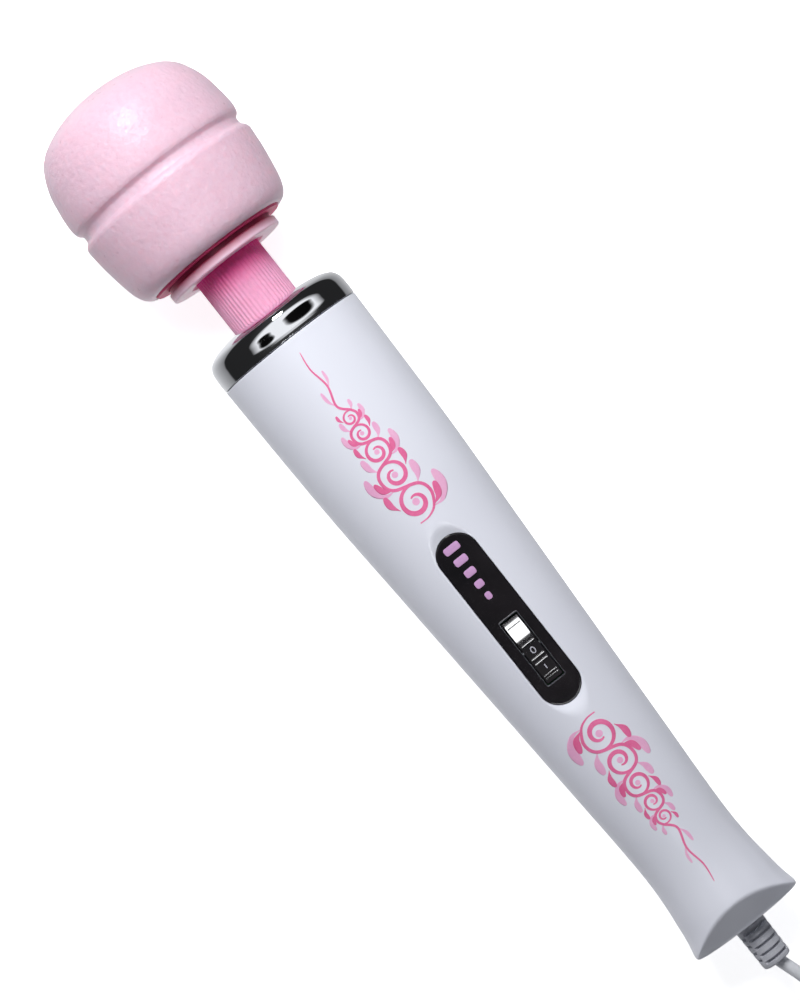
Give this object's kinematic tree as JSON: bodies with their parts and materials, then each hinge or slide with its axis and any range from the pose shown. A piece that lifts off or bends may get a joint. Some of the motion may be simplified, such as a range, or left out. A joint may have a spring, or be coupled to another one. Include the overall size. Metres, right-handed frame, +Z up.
{
  "type": "handheld wand massager",
  "caption": "Corded handheld wand massager: round grooved silicone head on a flexible ribbed neck, chrome collar, tapered two-shell handle with a recessed rocker panel",
  "frame": {"origin": "the middle of the wand's footprint, on the surface that it lies on; the lead's coil and plug are not counted", "axes": "+Z up; +X along the wand from the cord end to the head; the switch panel faces up; the wand's own axis rises 2.77 degrees towards the head, as it lies"},
  "size_m": [0.4048, 0.1165, 0.0634],
  "materials": {
    "shell_white": "gloss",
    "collar_chrome": "polished",
    "silicone_pink": "satin",
    "neck_pink": "satin",
    "flange_pink": "satin",
    "panel_black": "gloss",
    "dark_plastic": "satin",
    "steel": "satin",
    "dark_steel": "satin",
    "copper": "satin",
    "brass": "satin",
    "ferrite": "matte",
    "board_green": "satin",
    "rubber_black": "matte",
    "wire_red": "satin",
    "wire_blue": "satin",
    "cord_grey": "satin"
  },
  "bodies": {
    "handle": {"front_shell": "shell_white", "rear_shell": "shell_white", "case_screw_1": "steel", "case_screw_2": "steel", "case_screw_3": "steel", "case_screw_4": "steel", "switch_panel": "panel_black", "rocker_pin": "steel", "switch_body": "dark_plastic", "circuit_board": "board_green", "capacitor": "dark_plastic", "rectifier": "dark_plastic", "live_lead": "wire_red", "live_motor_lead": "wire_red", "neutral_lead": "wire_blue", "neutral_motor_lead": "wire_blue", "motor_can": "steel", "motor_end_cap": "dark_plastic", "rear_bearing": "brass", "front_bearing": "brass", "motor_magnet_front": "ferrite", "motor_magnet_rear": "ferrite", "brush_left": "ferrite", "brush_right": "ferrite", "rear_motor_mount": "rubber_black", "front_motor_mount": "rubber_black", "collar_ring": "collar_chrome", "nose_plate": "dark_plastic", "neck_sleeve_lower": "neck_pink", "strain_relief": "cord_grey", "inner_sheath": "cord_grey", "cord_clamp": "dark_plastic", "clamp_screw_1": "steel", "clamp_screw_2": "steel", "mains_cord": "cord_grey", "cord_coil": "cord_grey", "cord_tail": "cord_grey", "cord_tie": "rubber_black", "plug_body": "cord_grey", "plug_pin_1": "brass", "plug_pin_2": "brass"},
    "rotor": {"motor_shaft": "steel", "commutator": "copper", "armature": "dark_steel", "cooling_fan": "dark_plastic"},
    "rocker": {"switch_rocker": "panel_black"},
    "neck": {"neck_spring": "steel"},
    "coupling": {"coupling_spring": "dark_steel"},
    "head": {"neck_sleeve_upper": "neck_pink", "head_flange": "flange_pink", "head_core": "dark_plastic", "head_cushion": "silicone_pink", "head_bearing_lower": "steel", "head_bearing_upper": "steel"},
    "eccentric": {"eccentric_shaft": "steel", "eccentric_weight": "dark_steel"}
  },
  "joints": [
    {"name": "neck_bend", "type": "hinge", "parent": "handle", "child": "neck", "pos_m": [0.08932, 0, 0.02935], "axis": [0, 1, 0], "range_deg": [-10, 10], "stiffness_Nm_per_rad": 12, "deforming": ["neck_sleeve_lower"]},
    {"name": "neck_sway", "type": "hinge", "parent": "neck", "child": "head", "pos_m": [0.0993, 0, 0.02983], "axis": [-0.0483, 0, 0.9988], "range_deg": [-10, 10], "stiffness_Nm_per_rad": 12, "deforming": ["neck_sleeve_upper"]},
    {"name": "rotor_spin", "type": "hinge", "parent": "handle", "child": "rotor", "pos_m": [0.03538, 0, 0.02675], "axis": [0.9988, 0, 0.0483], "continuous": true},
    {"name": "coupling_spin", "type": "hinge", "parent": "neck", "child": "coupling", "pos_m": [0.09431, 0, 0.02959], "axis": [0.9988, 0, 0.0483], "continuous": true},
    {"name": "eccentric_spin", "type": "hinge", "parent": "head", "child": "eccentric", "pos_m": [0.12727, 0, 0.03118], "axis": [0.9988, 0, 0.0483], "continuous": true},
    {"name": "rocker_tilt", "type": "hinge", "parent": "handle", "child": "rocker", "pos_m": [-0.04727, 0, 0.03927], "axis": [0, 1, 0], "range_deg": [-8, 8]}
  ],
  "couplings": [
    {"joint": "coupling_spin", "follows": "rotor_spin", "ratio": 1},
    {"joint": "eccentric_spin", "follows": "rotor_spin", "ratio": 1}
  ]
}
